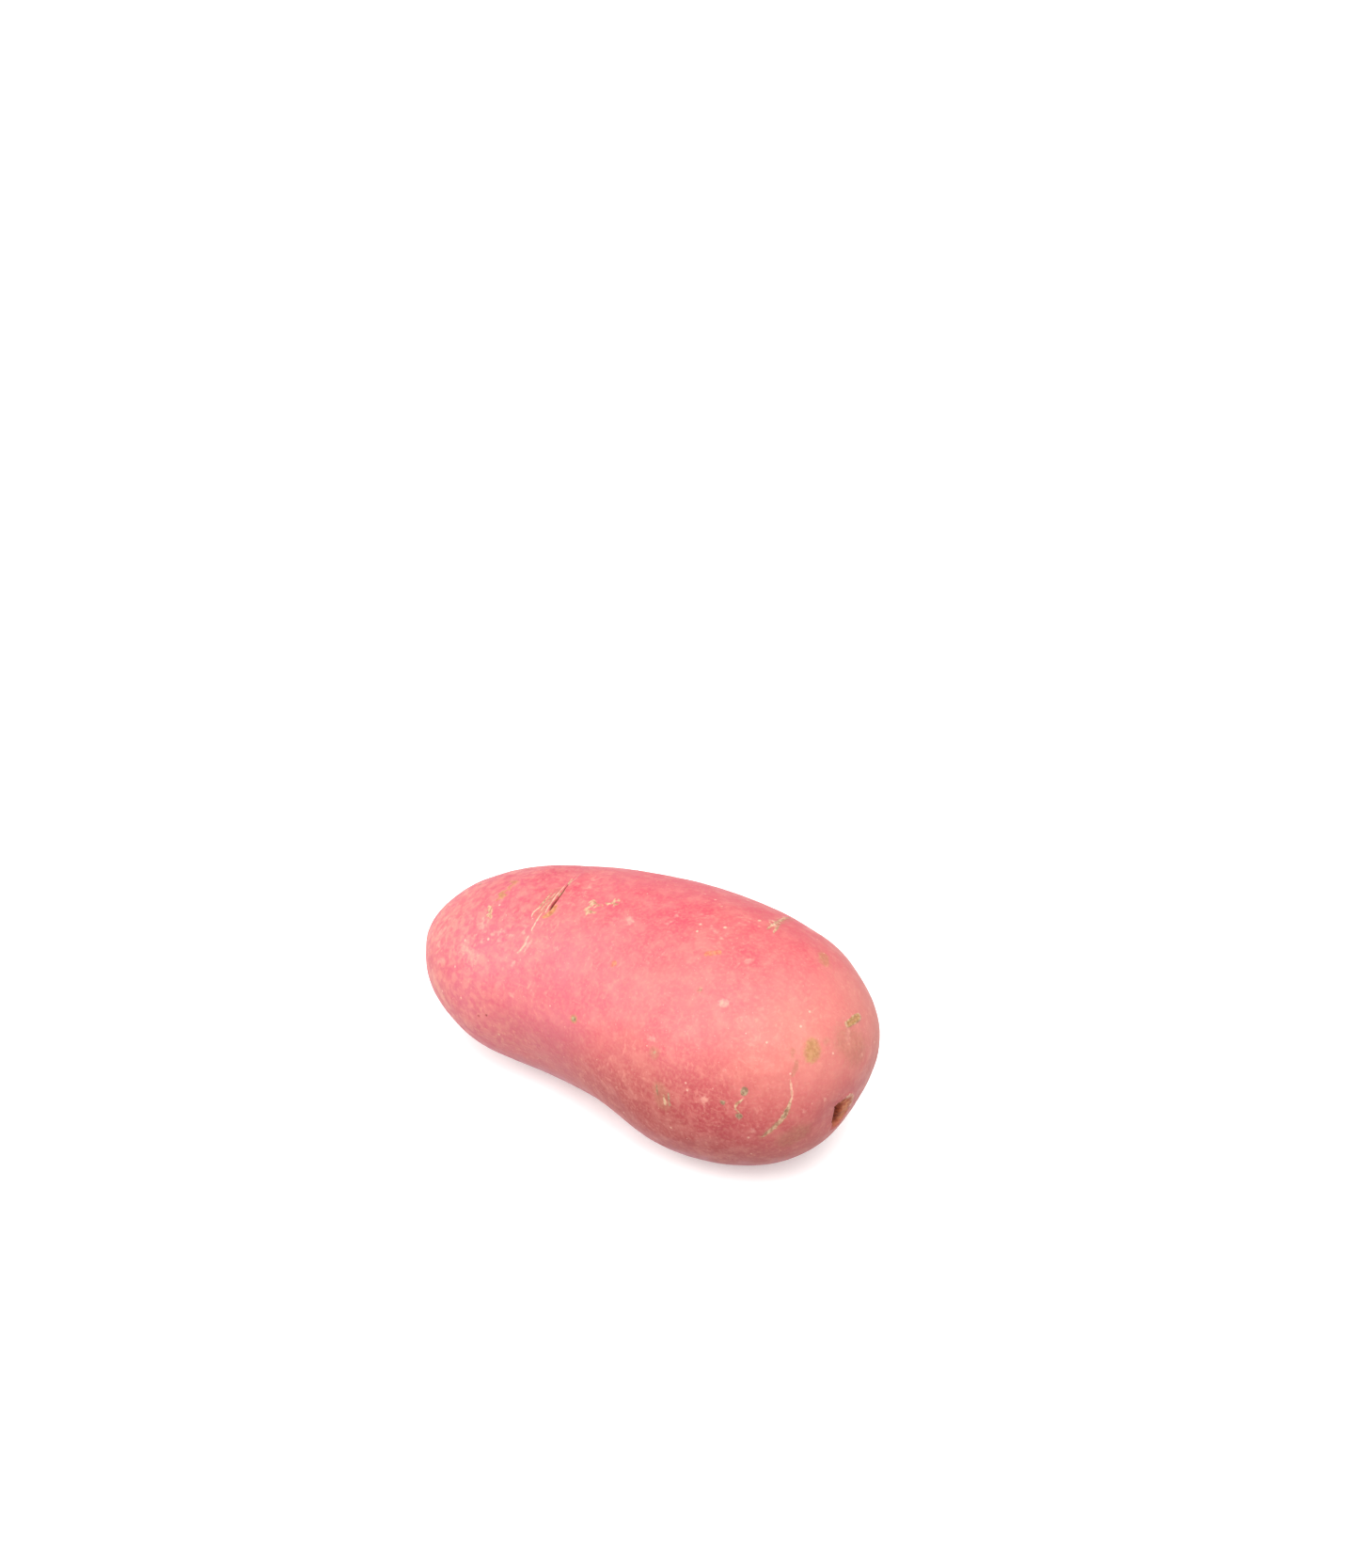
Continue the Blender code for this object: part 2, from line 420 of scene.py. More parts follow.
HEEL_MARKS = (
    *(Mark(Stain.FILM, 0.50 * MM, faint, 1.1, -0.04 * MM, Taper.POINTED) for faint in LONG_CUT_FAINT),
    Mark(Stain.CREAM, 0.30 * MM, LONG_CUT_THIN, 0.85, -0.08 * MM, Taper.POINTED),
    Mark(Stain.CORK, 0.50 * MM, LONG_CUT, 1.05, -0.10 * MM, Taper.POINTED),
    Mark(Stain.FILM, 0.9 * MM, LONG_CUT[1:], 0.50),
    Mark(Stain.OLIVE, 0.50 * MM, LONG_CUT[1:3], 0.50, 0.04 * MM),
    Mark(Stain.KHAKI, 1.85 * MM, KHAKI_PATCH, 0.88, 0.0, Taper.POINTED),
    Mark(Stain.CORK, 0.32 * MM, CORKY_RING, 1.1, 0.12 * MM),
    Mark(Stain.CREAM, 0.26 * MM, CORKY_RING[2:4], 1.0, 0.05 * MM, Taper.POINTED),
    Mark(Stain.KHAKI, 0.62 * MM, ((0.925, -0.03, 0.52), (0.918, 0.095, 0.503)), 1.1),
    Mark(Stain.PEACH, 0.50 * MM, RING_TRAIL, 0.70),
    # The broad dull film and deeper red over the heel end and its lower front darken it: partly rubbed
    # skin, partly painted shade.
    Mark(Stain.FILM, 3.6 * MM, ((0.945, -0.12, 0.42), (0.966, -0.06, 0.34)), 0.75),
    Mark(Stain.FILM, 0.9 * MM, ((0.919, -0.287, 0.509),), 0.66),
    Mark(Stain.FLUSH, 1.4 * MM, ((0.944, -0.484, 0.238),), 0.55),
    Mark(Stain.FLUSH, 9.0 * MM, ((0.90, -0.72, 0.05), (0.66, -0.92, 0.0)), 0.50),
    Mark(Stain.FILM, 2.4 * MM, ((0.910, -0.586, -0.176), (0.872, -0.641, -0.233)), 0.80),
    Mark(Stain.PEACH, 0.45 * MM, ((0.967, -0.434, 0.083),), 0.9),
    Mark(Stain.PEACH, 0.45 * MM, ((0.926, -0.589, 0.033),), 0.9),
    Mark(Stain.PEACH, 0.50 * MM, ((0.783, -0.824, -0.126),), 0.9),
    Mark(Stain.PEACH, 0.50 * MM, ((0.983, -0.005, 0.257),), 0.9),
    # Grey-green specks on its lower side, a squiggle between them, and small bruises.
    Mark(Stain.OLIVE, 0.70 * MM, ((0.75, -0.84, 0.24), (0.748, -0.845, 0.22)), 1.1, 0.04 * MM),
    Mark(Stain.OLIVE, 0.58 * MM, ((0.68, -0.92, 0.11),), 0.85, 0.04 * MM),
    Mark(Stain.OLIVE, 0.72 * MM, ((0.74, -0.88, 0.01),), 1.0, 0.04 * MM),
    Mark(Stain.CORK, 0.30 * MM, ((0.75, -0.86, 0.17), (0.725, -0.89, 0.09), (0.745, -0.875, 0.03)), 0.85,
         0.03 * MM, Taper.POINTED),
    Mark(Stain.FILM, 1.9 * MM, ((0.42, -0.99, 0.04), (0.435, -0.99, -0.06)), 0.90),
    *(
        Mark(stain, half_width, route, fullness, 0.0, Taper.POINTED)
        for stain, half_width, route, fullness in (
            (Stain.OLIVE, 0.34 * MM, ((0.402, -0.99, 0.07), (0.412, -0.99, -0.02)), 0.70),
            (Stain.OLIVE, 0.36 * MM, ((0.457, -0.99, 0.05), (0.466, -0.99, -0.07)), 0.72),
            (Stain.CORK, 0.42 * MM, ((0.436, -0.99, 0.02), (0.447, -0.99, -0.08)), 0.72),
        )
    ),
    Mark(Stain.FILM, 1.3 * MM, ((0.37, -0.93, 0.32),), 1.0),
    Mark(Stain.OLIVE, 0.45 * MM, ((0.37, -0.93, 0.32),), 0.60),
    Mark(Stain.PEACH, 0.85 * MM, ((0.61, -0.96, 0.10),), 1.1),
    Mark(Stain.PEACH, 0.55 * MM, ((0.35, -0.90, 0.42), (0.33, -0.90, 0.41)), 0.85),
)

MARKS = (*CROWN_EYE_MARKS, *CROWN_MARKS, *BUD_END_MARKS, *HEEL_MARKS)

SCURF = (
    # Beside the crown eye, and in loose groups over the bud end.
    *(
        Scurf(route, stray, count, 0.32 * MM)
        for route, stray, count in (
            (((-0.220, -0.18, 0.824), (-0.187, -0.216, 0.828), (-0.150, -0.20, 0.845)), 0.40 * MM, 15),
            (((-0.210, -0.22, 0.818), (-0.205, -0.28, 0.80), (-0.172, -0.27, 0.813)), 0.40 * MM, 13),
            (((-0.150, -0.18, 0.852), (-0.113, -0.15, 0.870), (-0.120, -0.09, 0.878)), 0.45 * MM, 13),
        )
    ),
    Scurf(((-0.618, -0.29, 0.620), (-0.621, -0.25, 0.630)), 0.55 * MM, 7, 0.50 * MM, Stain.KHAKI),
    Scurf(((-0.631, -0.40, 0.560), (-0.608, -0.46, 0.543)), 0.45 * MM, 8, 0.42 * MM, Stain.CORK),
    Scurf(((-0.630, -0.10, 0.655), (-0.620, -0.19, 0.645)), 0.80 * MM, 11, 0.45 * MM, Stain.KHAKI, 0.62),
    Scurf(((-0.66, -0.56, 0.42), (-0.52, -0.56, 0.50), (-0.43, -0.50, 0.59)), 2.8 * MM, 26, 0.42 * MM,
          Stain.PEACH, 0.62),
    Scurf(((-0.84, -0.40, 0.20), (-0.76, -0.58, 0.10)), 3.6 * MM, 26, 0.46 * MM, Stain.PEACH, 0.62),
    Scurf(((0.20, -0.1, 0.95), (0.42, 0.1, 0.99)), 6.0 * MM, 26, 0.36 * MM, Stain.PEACH, 0.68),
    Scurf(((0.50, 0.15, 0.96), (0.46, 0.5, 0.85)), 1.1 * MM, 14, 0.32 * MM, Stain.CREAM, 0.7),
    # On the far side and the belly.
    Scurf(((-0.66, 0.62, 0.40), (-0.52, 0.70, 0.34)), 1.6 * MM, 16),
    Scurf(((0.10, 0.80, 0.58), (0.22, 0.86, 0.46)), 1.2 * MM, 14),
    Scurf(((0.66, 0.66, -0.42), (0.78, 0.56, -0.40)), 1.6 * MM, 15),
    Scurf(((-0.30, 0.84, -0.10), (-0.24, 0.88, 0.02)), 0.9 * MM, 10),
    Scurf(((0.30, -0.60, -0.82), (0.44, -0.52, -0.84)), 1.5 * MM, 12),
    Scurf(((-0.62, 0.10, -0.76), (-0.52, 0.22, -0.82)), 1.4 * MM, 12),
)

SWELLS = (
    Swell((0.95, 0.30, 0.12), 14.0 * MM, 0.7 * MM),
    Swell((-0.93, -0.35, -0.05), 12.0 * MM, 0.8 * MM),
    Swell((0.97, 0.05, -0.12), 9.0 * MM, -1.2 * MM),
    Swell((0.74, -0.58, -0.66), 13.0 * MM, 0.9 * MM),
    Swell((-0.30, -0.85, -0.45), 10.0 * MM, -0.8 * MM),
    Swell((0.32, 0.60, 0.78), 13.0 * MM, -0.4 * MM),
)

EYES = (
    Eye((-0.385, -0.14, 0.75), 8.0 * MM, 0.6 * MM, 0.90 * MM, 3.0 * MM, 0.30 * MM, 0.20 * MM, 0.0),
    Eye((-0.95, 0.24, 0.20), 3.4 * MM, 1.4 * MM, 0.60 * MM),
    Eye((-0.92, -0.32, 0.06), 3.0 * MM, 1.2 * MM, 0.35 * MM, turn=12.0),
    Eye((-0.90, 0.20, -0.36), 3.2 * MM, 1.2 * MM, 0.50 * MM, turn=-10.0),
    Eye((-0.60, 0.74, 0.26), 4.8 * MM, 1.5 * MM, 0.80 * MM, turn=6.0),
    Eye((-0.40, -0.12, -0.88), 4.0 * MM, 1.2 * MM, 0.45 * MM),
    Eye((0.04, 0.93, -0.36), 5.2 * MM, 1.6 * MM, 0.80 * MM, turn=-8.0),
    Eye((0.52, 0.84, 0.52), 5.0 * MM, 1.6 * MM, 0.75 * MM, turn=5.0),
)


@dataclass
class Tissue:
    """The tuber's vertices as arrays, with what has been grown on them so far."""

    points: np.ndarray
    facing: np.ndarray
    tree: BVHTree
    middle: Vector
    half: Vector
    shift: np.ndarray = field(init=False)
    stains: dict[Stain, np.ndarray] = field(init=False)

    def __post_init__(self) -> None:
        """Start with no shift and no stains."""
        self.shift = np.zeros(len(self.points))
        self.stains = {stain: np.zeros(len(self.points)) for stain in Stain}

    def locate(self, place: Share) -> tuple[np.ndarray, np.ndarray]:
        """Find a place on the skin.

        Args:
            place: Shares of the tuber's box, from its middle.

        Returns:
            The nearest point of the skin, and the way the skin faces there.
        """
        wanted = self.middle + Vector([share * half for share, half in zip(place, self.half)])
        point, normal, _, _ = self.tree.find_nearest(wanted)
        return np.array(point), np.array(normal)

    def share_of(self, point: Vector) -> Share:
        """Give a point as shares of the tuber's box, from its middle."""
        offset = point - self.middle
        return (offset.x / self.half.x, offset.y / self.half.y, offset.z / self.half.z)

    def trace(self, route: tuple[Share, ...]) -> np.ndarray:
        """Follow a smooth route over the skin.

        Args:
            route: The places that it runs through.

        Returns:
            Points on the skin about 0.2 mm apart.
        """
        stops = np.array([self.locate(place)[0] for place in route])
        if len(stops) == 1:
            return stops
        padded = np.vstack([2 * stops[0] - stops[1], stops, 2 * stops[-1] - stops[-2]])
        traced = []
        for before, start, end, after in zip(padded, padded[1:], padded[2:], padded[3:]):
            steps = max(2, int(np.linalg.norm(end - start) / PATH_STEP))
            for t in np.linspace(0.0, 1.0, steps, endpoint=False):
                pull = (2 * before - 5 * start + 4 * end - after) * t * t
                pull += (3 * start - 3 * end + after - before) * t**3
                traced.append(start + 0.5 * ((end - before) * t + pull))
        traced.append(stops[-1])
        return np.array([self.tree.find_nearest(Vector(point))[0] for point in traced])

    def closeness(self, path: np.ndarray, half_widths: np.ndarray | float) -> np.ndarray:
        """Measure how near every vertex is to a path over the skin.

        Args:
            path: Points along the path.
            half_widths: Half the path's width, at each point or the same all along.

        Returns:
            The distance from the path, in half widths: 1 is at its edge.
        """
        widths = np.broadcast_to(half_widths, len(path))
        margin = 2.0 * widths.max()
        low, high = path.min(axis=0) - margin, path.max(axis=0) + margin
        near = np.all((self.points > low) & (self.points < high), axis=1)
        closest = np.full(near.sum(), np.inf)
        for point, width in zip(path, widths):
            np.minimum(closest, ((self.points[near] - point) ** 2).sum(axis=1) / width**2, out=closest)
        closeness = np.full(len(self.points), np.inf)
        closeness[near] = np.sqrt(closest)
        return closeness

    def chart(
        self, place: Share, lead: Share, turn: float = 0.0
    ) -> tuple[np.ndarray, np.ndarray, np.ndarray]:
        """Lay a flat chart on the skin round a place.

        Args:
            place: The middle of the chart.
            lead: The direction in space that the chart's second axis follows.
            turn: How far the chart is turned on the skin, in degrees.

        Returns:
            For every vertex, how far it lies along the chart's first and second axis, measured
            over the skin, and how far from its middle. Vertices on another side get infinity.
        """
        centre, facing = self.locate(place)
        ahead = np.array(lead) - facing * (facing @ np.array(lead))
        ahead /= np.linalg.norm(ahead)
        aside = np.cross(facing, ahead)
        angle = math.radians(turn)
        first_axis = aside * math.cos(angle) + ahead * math.sin(angle)
        second_axis = ahead * math.cos(angle) - aside * math.sin(angle)
        offset = self.points - centre
        straight = np.linalg.norm(offset, axis=1)
        first, second = offset @ first_axis, offset @ second_axis
        stretch = straight / np.maximum(np.hypot(first, second), 1e-9)
        away = np.where(self.facing @ facing > 0.2, straight, np.inf)
        return first * stretch, second * stretch, away

    def stain(self, stain: Stain, amount: np.ndarray) -> None:
        """Add a stain where it is stronger than what is there already."""
        np.maximum(self.stains[stain], amount, out=self.stains[stain])


@dataclass
class TuberSkin:
    """The whole skin of the tuber, as one closed mesh.

    Attributes:
        name: The piece's name.
        cage_size: Face size of the even cage that the skin is subdivided from, in metres.
        plumping: How far the skin grows back to the body that smoothing shrank, in metres.
        fine_reach: How far from a mark the mesh is made finer, in metres.
        finest_reach: How far from a narrow slit it is made finer once more.
        waves: Wavelength and height of each layer of unevenness of the flesh, in metres.
        swells: The flesh's broad humps.
        eyes: The eyes.
        marks: The blemishes that are laid one by one.
        scurf: The patches of scurf.
        scar: The scar of the stolon.
        wear: For each kind of small spot on the bare sides its count, half width and fullness.
        marked_side: The way that the skin with the marks faces; what faces away gets small wear.
        seed: Seed of the scurf and the wear.
    """

    name: str = "potato_skin"
    cage_size: float = 2.4 * MM
    plumping: float = 0.35 * MM
    fine_reach: float = 1.2 * MM
    finest_reach: float = 0.7 * MM
    waves: tuple[tuple[float, float], ...] = (
        (22.0 * MM, 0.30 * MM),
        (8.0 * MM, 0.07 * MM),
        (2.6 * MM, 0.014 * MM),
    )
    swells: tuple[Swell, ...] = SWELLS
    eyes: tuple[Eye, ...] = EYES
    marks: tuple[Mark, ...] = MARKS
    scurf: tuple[Scurf, ...] = SCURF
    scar: StolonScar = StolonScar()
    wear: tuple[tuple[Stain, int, float, float], ...] = (
        (Stain.CREAM, 60, 0.34 * MM, 0.72),
        (Stain.OLIVE, 9, 0.50 * MM, 0.85),
        (Stain.KHAKI, 7, 0.80 * MM, 0.75),
        (Stain.CORK, 12, 0.45 * MM, 0.75),
        (Stain.PIT, 7, 0.28 * MM, 0.80),
    )
    marked_side: tuple[float, float, float] = (0.50, -0.69, 0.53)
    seed: int = 7

    def build(self) -> bpy.types.Object:
        """Grow the skin.

        Returns:
            The finished piece, with its stains as attributes and no material yet.
        """
        self.piece = self.copy_body()
        self.even_out()
        marks = [*self.marks, *self.strewn_scurf(self.tissue()), *self.scattered_wear()]
        self.refine(marks)
        tissue = self.tissue()
        tissue.shift += self.plumping
        for swell in self.swells:
            away = np.linalg.norm(tissue.points - tissue.locate(swell.place)[0], axis=1)
            tissue.shift += swell.height * np.exp(-((away / swell.reach) ** 2))
        self.roughen(tissue)
        for eye in self.eyes:
            self.sink_eye(tissue, eye)
        self.break_stolon(tissue)
        for mark in marks:
            self.lay_mark(tissue, mark)
        self.settle(tissue)
        return self.piece

    def copy_body(self) -> bpy.types.Object:
        """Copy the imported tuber, join its loose triangles and round them off.

        Returns:
            The copy, as a new object.
        """
        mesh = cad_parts[NODE].data.copy()
        piece = bpy.data.objects.new(self.name, mesh)
        bpy.context.scene.collection.objects.link(piece)
        select_only(piece)
        bpy.ops.object.mode_set(mode="EDIT")
        bpy.ops.mesh.select_all(action="SELECT")
        bpy.ops.mesh.remove_doubles(threshold=0.005 * MM)
        bpy.ops.mesh.tris_convert_to_quads()
        bpy.ops.object.mode_set(mode="OBJECT")
        apply_modifier(piece, "SUBSURF", levels=2, render_levels=2)
        return piece

    def even_out(self) -> None:
        """Turn the body into an even mesh of small quads."""
        apply_modifier(self.piece, "REMESH", mode="VOXEL", voxel_size=self.cage_size)
        apply_modifier(self.piece, "SMOOTH", factor=0.5, iterations=3)
        apply_modifier(self.piece, "SUBSURF", levels=2, render_levels=2)
        log.info("even mesh: %d faces", len(self.piece.data.polygons))

    def split_near(self, routes: Iterable[tuple[Share, ...]], reach: float) -> None:
        """Split every face near some routes into four.

        Args:
            routes: The routes over the skin.
            reach: How far from them the faces are split, in metres.
        """
        tissue = self.tissue()
        near = np.zeros(len(tissue.points), bool)
        for route in routes:
            near |= tissue.closeness(tissue.trace(route), reach) < 1.0
        select_only(self.piece)
        bpy.ops.object.mode_set(mode="EDIT")
        bpy.ops.mesh.select_mode(type="FACE")
        bpy.ops.mesh.select_all(action="DESELECT")
        editing = bmesh.from_edit_mesh(self.piece.data)
        for face in editing.faces:
            face.select_set(any(near[vert.index] for vert in face.verts))
        bmesh.update_edit_mesh(self.piece.data)
        bpy.ops.mesh.subdivide(number_cuts=1)
        bpy.ops.object.mode_set(mode="OBJECT")

    def refine(self, marks: Iterable[Mark]) -> None:
        """Make the mesh finer where the skin carries small things.

        Args:
            marks: Every blemish; broad and soft ones need no finer mesh.
        """
        crater, slit = (self.scar.place,), BROW_SLIT
        soft = (Stain.PEACH, Stain.FILM, Stain.FLUSH)
        small = [mark.route for mark in marks if mark.half_width < 1.0 * MM and mark.stain not in soft]
        self.split_near([*small, crater], self.fine_reach)
        self.split_near([crater], 1.3 * self.scar.half_height)
        self.split_near([slit, *BROW_FIBRES, crater], self.finest_reach)
        log.info("refined mesh: %d faces", len(self.piece.data.polygons))

    def tissue(self) -> Tissue:
        """Read the piece's vertices into arrays.

        Returns:
            The vertices, with nothing grown on them yet.
        """
        mesh = self.piece.data
        count = len(mesh.vertices)
        points, facing = np.empty(count * 3), np.empty(count * 3)
        mesh.vertices.foreach_get("co", points)
        mesh.vertex_normals.foreach_get("vector", facing)
        low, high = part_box(NODE)
        editing = bmesh.new()
        editing.from_mesh(mesh)
        tree = BVHTree.FromBMesh(editing)
        editing.free()
        return Tissue(
            points.reshape(-1, 3), facing.reshape(-1, 3), tree, (low + high) / 2, (high - low) / 2
        )

    def roughen(self, tissue: Tissue) -> None:
        """Give the flesh its low, irregular unevenness.

        Args:
            tissue: The skin to roughen.
        """
        for wavelength, height in self.waves:
            tissue.shift += height * np.array(
                [noise.fractal(Vector(point / wavelength), 1.0, 2.0, 2) for point in tissue.points]
            )

    def sink_eye(self, tissue: Tissue, eye: Eye) -> None:
        """Sink one eye into the skin, raise its brow and its bud, and redden its hollow, partly as
        painted shade.

        Args:
            tissue: The skin that gets the eye.
            eye: The eye.
        """
        across, budward, away = tissue.chart(eye.place, (-1.0, 0.0, 0.0), eye.turn)
        near = away < 3.0 * eye.half_width
        across, budward = across[near] / eye.half_width, budward[near]
        under = budward - eye.sag * across**2
        taper = np.exp(-(across**4) * 1.2)
        deep = np.clip(under / eye.reach, 0.0, None)
        hollow = eye.hollow * deep * np.exp(1.0 - deep) * np.exp(-(across**2) * 1.1)
        groove = eye.groove * taper * np.exp(-((under / CREASE_WIDTH) ** 2))
        ridge = eye.ridge * taper * np.exp(-(((under + BROW_WIDTH) / BROW_WIDTH) ** 2))
        bud_distance = np.hypot(across * eye.half_width, under - 1.3 * eye.reach) / BUD_SIZE
        bud = eye.bud * np.exp(-(bud_distance**2))
        tissue.shift[near] += ridge + bud - hollow - groove
        crease = np.zeros(len(tissue.points))
        crease[near] = 0.62 * taper * fade(np.abs(under) / (0.25 * MM))
        tissue.stain(Stain.CORK, crease)
        # Deeper red over the hollow, partly painted shade in the recess.
        hollow_flush_and_shade = np.zeros(len(tissue.points))
        hollow_flush_and_shade[near] = 0.7 * np.exp(-(across**2)) * fade(np.abs(under - eye.reach) / (1.6 * eye.reach))
        tissue.stain(Stain.FLUSH, hollow_flush_and_shade)

    def break_stolon(self, tissue: Tissue) -> None:
        """Break the crater of the stolon into the heel.

        Args:
            tissue: The skin that gets the crater.
        """
        scar = self.scar
        across, up, away = tissue.chart(scar.place, (0.0, 0.0, 1.0))
        near = away < 3.0 * scar.half_height
        across, up = across[near] / scar.half_width, up[near] / scar.half_height
        grain = np.array(
            [noise.fractal(Vector(point / (1.1 * MM)), 0.8, 2.0, 3) for point in tissue.points[near]]
        )
        # Its outline is a wedge: broad at the top, with a straight wall on the hollow side.
        wall = 0.62 + 0.10 * up
        beyond = np.where(across > wall, 1.0 + (across - wall) / 0.25, across / (1.0 + 0.25 * up))
        radius = np.hypot(np.clip(beyond, -3.0, 3.0), up) * (1.0 + 0.08 * grain)
        inside = np.clip((1.0 - radius) / WALL_BLEND, 0.0, 1.0)
        inside = inside * inside * (3.0 - 2.0 * inside)
        # The floor slopes: it is deepest against that wall.
        depth = scar.depth * (0.50 + 0.50 * np.clip(across / wall, -1.0, 1.0))
        rim = np.exp(-(((radius - 1.12) / 0.14) ** 2)) * (0.60 - 0.40 * np.clip(across, -1.0, 1.0))
        stub = np.exp(-(((across + 0.1) ** 2 + up**2) / 0.10))
        height = scar.lip * rim * (1.0 + grain) - depth * inside
        height += (scar.stub * stub + 0.10 * MM * grain) * inside
        tissue.shift[near] += height
        patches = {
            Stain.RUST: 1.2 * fade(radius / 0.92),
            Stain.PIT: 0.92 * fade(radius / 0.92) * fade((wall - across) / 0.85),
            Stain.PEACH: 0.95 * fade((across + 0.75) / 0.45) * fade(radius / 1.0),
            Stain.CREAM: 0.85 * fade(np.abs(radius - 1.08) / 0.12) * (across < -0.25) * (up > -0.2),
            Stain.FLUSH: 0.55 * fade(radius / 1.9),
        }
        for stain, patch in patches.items():
            amount = np.zeros(len(tissue.points))
            amount[near] = patch
            tissue.stain(stain, amount)

    def lay_mark(self, tissue: Tissue, mark: Mark) -> None:
        """Lay one blemish on the skin.

        Args:
            tissue: The skin that gets it.
            mark: The blemish.
        """
        path = tissue.trace(mark.route)
        share = np.linspace(0.0, 1.0, len(path))
        width = np.ones(len(path))
        if mark.taper is Taper.POINTED:
            width = TIP_WIDTH + (1.0 - TIP_WIDTH) * np.sin(math.pi * share) ** 0.7
        spread = fade(tissue.closeness(path, mark.half_width * width))
        tissue.shift += mark.lift * spread
        tissue.stain(mark.stain, mark.fullness * spread)

    def strewn_scurf(self, tissue: Tissue) -> list[Mark]:
        """Strew the small bent flecks of every patch of scurf.

        Args:
            tissue: The skin.

        Returns:
            Each fleck as a mark.
        """
        chance = random.Random(self.seed)
        flecks = []
        for patch in self.scurf:
            path = tissue.trace(patch.route)
            for _ in range(patch.count):
                stray, lean, bend = (random_vector(chance) for _ in range(3))
                middle = Vector(path[chance.randrange(len(path))]) + stray * 0.6 * patch.stray
                lean *= 0.7 * patch.size * chance.uniform(0.3, 2.0)
                bend *= 0.4 * patch.size
                bent = (middle + lean * t + bend * t * t for t in (-1.0, 0.0, 1.0))
                route = tuple(tissue.share_of(point) for point in bent)
                size = patch.size * chance.uniform(0.5, 1.0)
                flecks.append(Mark(patch.stain, size, route, patch.fullness, FLECK_LIFT))
        return flecks

    def scattered_wear(self) -> list[Mark]:
        """Scatter small spots over the sides that carry no marks of their own.

        Returns:
            Each spot as a mark, and each prick with a dry rim as a mark of its own.
        """
        chance = random.Random(self.seed)
        spots = []
        for stain, count, half_width, fullness in self.wear:
            while count:
                place = random_vector(chance).normalized()
                if place.dot(self.marked_side) > BARE_SIDE:
                    continue
                count -= 1
                size = half_width * chance.uniform(0.6, 1.2)
                route = (tuple(place),)
                lift = SPOT_LIFT
                if stain is Stain.PIT:
                    lift = -PRICK_DEPTH
                    spots.append(Mark(Stain.CORK, PRICK_RIM * size, route, 0.75, -PRICK_RIM_DEPTH))
                spots.append(Mark(stain, size, route, fullness, lift))
        return spots

    def settle(self, tissue: Tissue) -> None:
        """Move the vertices, keep the belly flat on the floor, and store the stains.

        Args:
            tissue: The skin as it has grown.
        """
        mesh = self.piece.data
        moved = tissue.points + tissue.facing * tissue.shift[:, None]
        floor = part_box(NODE)[0].z
        resting = tissue.points[:, 2] < floor + SEAT_REACH
        moved[:, 2] = np.where(resting, floor, np.maximum(moved[:, 2], floor))
        mesh.vertices.foreach_set("co", moved.ravel())
        for stain, amount in tissue.stains.items():
            layer = mesh.attributes.new(stain.value, "FLOAT", "POINT")
            layer.data.foreach_set("value", amount)
        mesh.update()
        select_only(self.piece)
        bpy.ops.object.shade_smooth()


@dataclass(frozen=True)
class StainLook:
    """How one kind of blemish shows on the skin.

    Attributes:
        dark: Its darker colour.
        light: Its lighter colour.
        cover: How much of the skin's red it hides.
        ragged: How far noise moves its edge, as a share of its strength.
        soft: How soft its edge is, as a share of its strength.
        rough: How much it adds to the skin's roughness.
        crust: How far its grain stands up, in metres.
    """

    dark: str
    light: str
    cover: float
    ragged: float
    soft: float
    rough: float
    crust: float


STAIN_LOOKS = {
    # Deeper red that is partly painted shade.
    Stain.FLUSH: StainLook("98283F", "A8384F", 0.42, 0.10, 0.90, 0.0, 0.0),
    Stain.FILM: StainLook("955F4C", "A46C58", 0.62, 0.30, 0.60, 0.10, 0.0),
    Stain.PEACH: StainLook("C4847A", "D09C88", 0.50, 0.55, 0.50, 0.05, 0.0),
    Stain.CORK: StainLook("8E6A50", "BA9A7C", 0.88, 0.45, 0.18, 0.22, 0.050 * MM),
    Stain.CREAM: StainLook("B88470", "CEA68E", 0.85, 0.40, 0.20, 0.12, 0.030 * MM),
    Stain.KHAKI: StainLook("906C3C", "A68150", 0.76, 0.25, 0.50, 0.12, 0.010 * MM),
    Stain.OLIVE: StainLook("665641", "968769", 0.85, 0.35, 0.30, 0.15, 0.020 * MM),
    Stain.RUST: StainLook("9C5034", "B87650", 0.85, 0.25, 0.30, 0.15, 0.015 * MM),
    Stain.PIT: StainLook("561A0C", "82341C", 0.95, 0.10, 0.45, 0.20, 0.0),
}


